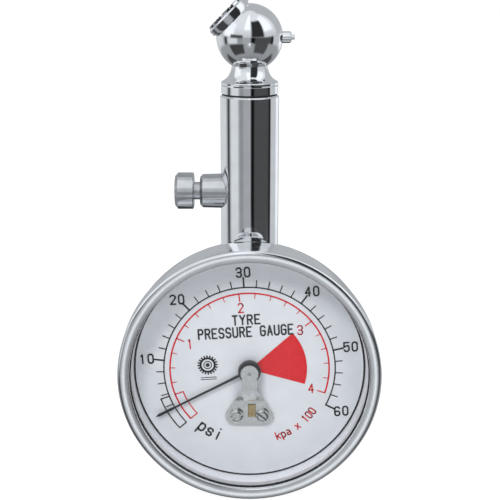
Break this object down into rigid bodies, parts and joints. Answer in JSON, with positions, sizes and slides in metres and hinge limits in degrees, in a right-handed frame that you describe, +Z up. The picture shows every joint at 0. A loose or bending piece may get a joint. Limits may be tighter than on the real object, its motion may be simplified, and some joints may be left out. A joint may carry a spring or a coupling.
{
  "type": "tire pressure gauge",
  "caption": "Dial tire pressure gauge with a chromed round case, straight stem, side release button and angled ball chuck that pushes on to a tire valve.",
  "frame": {"origin": "middle of the chuck's mouth, on the face of its flange, where the gauge is pushed on to a tire valve", "axes": "+Z up along the stem, away from the dial; the dial faces -Y; the release button points to -X; the mouth points to -X and +Z at 45 degrees"},
  "size_m": [0.057, 0.0242, 0.1083],
  "materials": {
    "chrome_shell": "polished chrome plate on pressed brass",
    "chrome_bezel": "polished chrome plate on a rolled brass ring",
    "chrome_stem": "polished chrome plate on turned brass",
    "white_ring": "satin white paint on aluminium",
    "lens_glass": "clear flat glass",
    "black_rubber": "black nitrile rubber",
    "dial_paint": "satin white paint, printed in black and red",
    "nickel": "nickel-plated pressed steel",
    "steel": "turned steel",
    "spring_steel": "drawn spring wire",
    "brass": "machined brass",
    "bronze_strip": "drawn phosphor bronze",
    "black_enamel": "matt black enamel"
  },
  "bodies": {
    "gauge_body": {"case": "chrome_shell", "bezel": "chrome_bezel", "lens": "lens_glass", "lens_gasket": "black_rubber", "trim_ring": "white_ring", "seat_ring": "black_rubber", "dial_plate": "dial_paint", "front_bridge": "nickel", "bridge_screws": "nickel", "locating_tab": "brass", "dial_spacers": "brass", "front_plate": "brass", "back_plate": "brass", "pillars": "brass", "front_screws": "steel", "back_screws": "steel", "hairspring": "bronze_strip", "hairspring_stud": "brass", "bourdon_tube": "bronze_strip", "socket_block": "brass", "socket_screws": "steel", "socket_gasket": "black_rubber", "stem": "chrome_stem", "stem_washer": "black_rubber", "release_boss": "chrome_stem", "release_spring": "spring_steel", "check_cage": "brass", "check_spring": "spring_steel", "chuck_body": "chrome_stem", "valve_bush": "chrome_stem", "chuck_seal": "black_rubber", "depressor_pin": "brass", "deflator_nub": "chrome_stem"},
    "sector": {"sector_gear": "brass", "sector_arbor": "steel", "tail_rivet": "steel"},
    "needle": {"pointer": "black_enamel", "pointer_hub": "black_enamel", "pinion_arbor": "steel", "hairspring_collet": "brass"},
    "tube_link": {"link": "brass"},
    "tube_tip": {"bourdon_end_piece": "brass", "tip_stud": "steel"},
    "release_button": {"release_plunger": "steel", "release_knob": "chrome_stem", "release_disc": "brass", "release_seal": "black_rubber"},
    "check_valve": {"check_poppet": "brass", "poppet_seal": "black_rubber"}
  },
  "joints": [
    {"name": "sector_swing", "type": "hinge", "parent": "gauge_body", "child": "sector", "pos_m": [-0.00587, -0.011, -0.08378], "axis": [0, -1, 0], "range_deg": [0, 25]},
    {"name": "needle_turn", "type": "hinge", "parent": "gauge_body", "child": "needle", "pos_m": [0.00499, -0.011, -0.07619], "axis": [0, 1, 0], "range_deg": [0, 240]},
    {"name": "link_swing", "type": "hinge", "parent": "sector", "child": "tube_link", "pos_m": [-0.00989, -0.011, -0.08081], "axis": [0, -1, 0], "range_deg": [-25, 0]},
    {"name": "tube_flex", "type": "hinge", "parent": "gauge_body", "child": "tube_tip", "pos_m": [0.00756, 0.0001, -0.08022], "axis": [0, -1, 0], "range_deg": [0, 5.97], "stiffness_Nm_per_rad": 0.005, "springref_deg": -2.86, "deforming": ["bourdon_tube"]},
    {"name": "release_press", "type": "slide", "parent": "gauge_body", "child": "release_button", "axis": [1, 0, 0], "range_m": [0, 0.0013], "stiffness_N_per_m": 300, "springref_m": -0.002, "deforming": ["release_spring"]},
    {"name": "check_valve_lift", "type": "slide", "parent": "gauge_body", "child": "check_valve", "axis": [0, 0, -1], "range_m": [0, 0.001], "stiffness_N_per_m": 100, "springref_m": -0.002, "deforming": ["check_spring"]}
  ],
  "couplings": [
    {"joint": "sector_swing", "follows": "tube_flex", "ratio": 4.1876},
    {"joint": "needle_turn", "follows": "tube_flex", "ratio": 40.201},
    {"joint": "link_swing", "follows": "tube_flex", "ratio": -4.1876}
  ]
}
